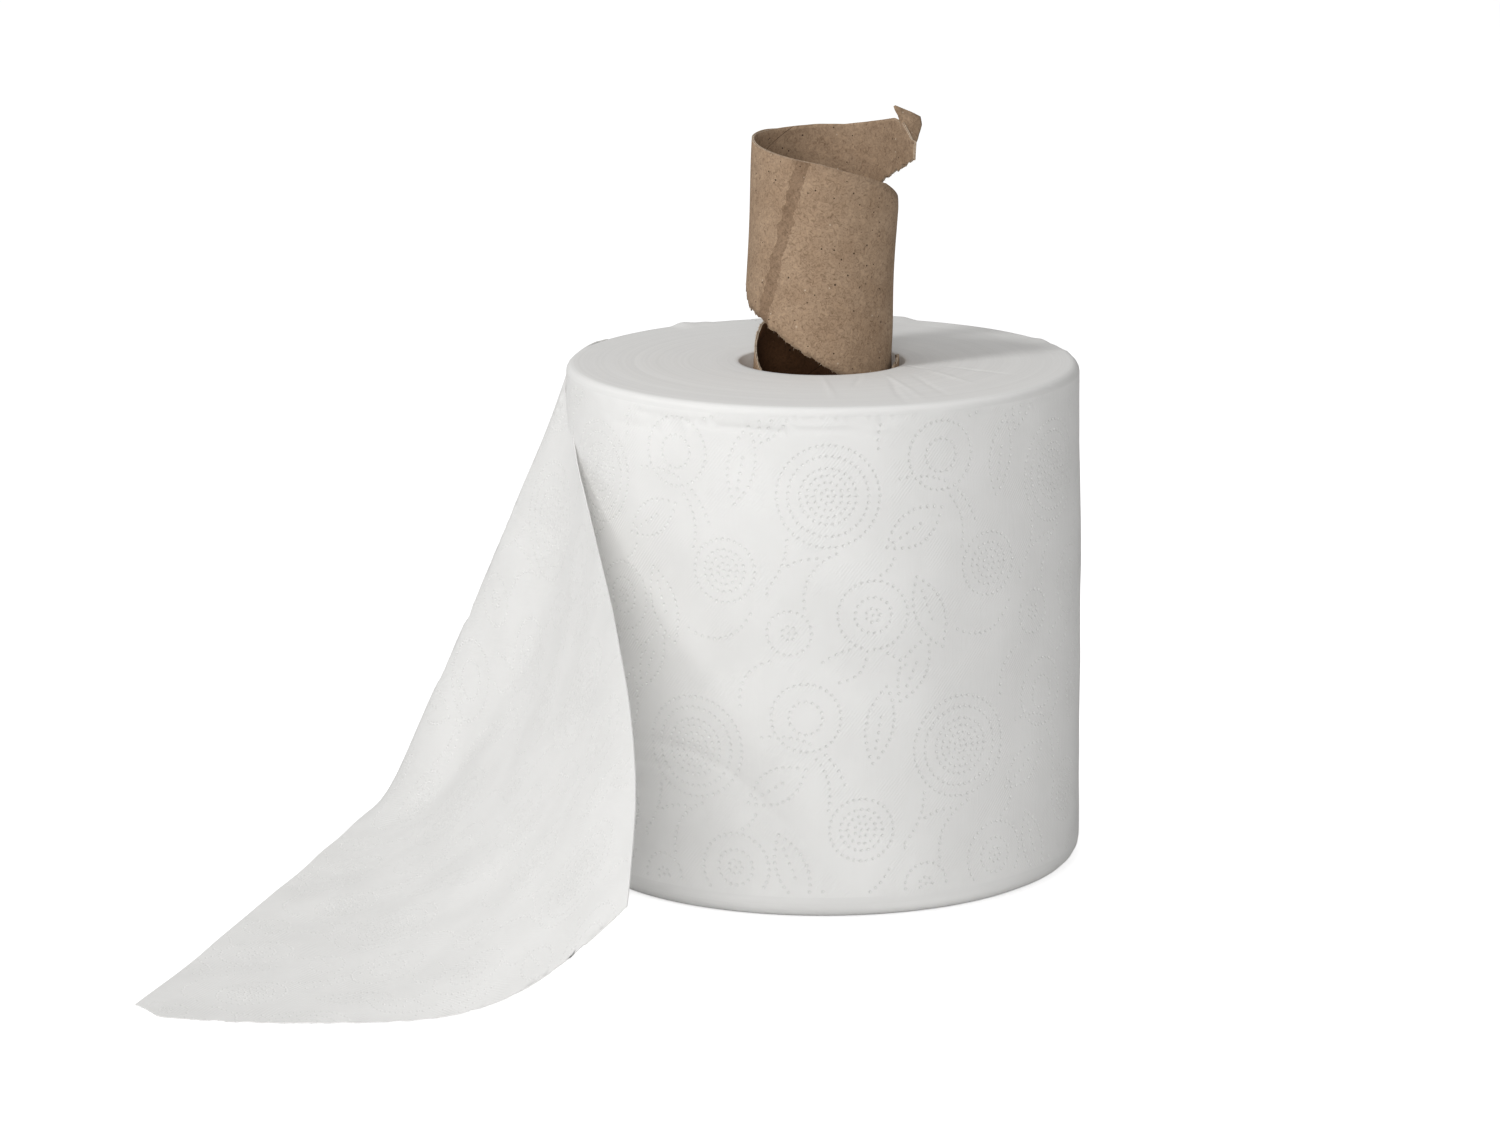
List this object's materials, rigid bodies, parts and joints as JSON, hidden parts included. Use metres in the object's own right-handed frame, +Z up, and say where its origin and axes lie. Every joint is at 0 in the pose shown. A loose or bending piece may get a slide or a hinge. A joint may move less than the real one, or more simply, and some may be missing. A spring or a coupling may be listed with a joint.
{
  "type": "centrefeed paper roll",
  "caption": "Centrefeed roll of embossed paper on end, outer turn loose and lying on the floor, cardboard core torn along its spiral seam and drawn up.",
  "frame": {"origin": "centre of the roll's feed hole on the face it stands on", "axes": "+Z up along the roll's axis, +Y away from the side the loose end lies on, +X to the right of it"},
  "size_m": [0.3275, 0.3455, 0.2818],
  "materials": {
    "paper": "embossed two-ply tissue, matt",
    "cardboard": "grey-brown board, matt, torn edges"
  },
  "bodies": {
    "root": {"paper_roll": "paper", "cardboard_core": "cardboard"}
  },
  "joints": []
}
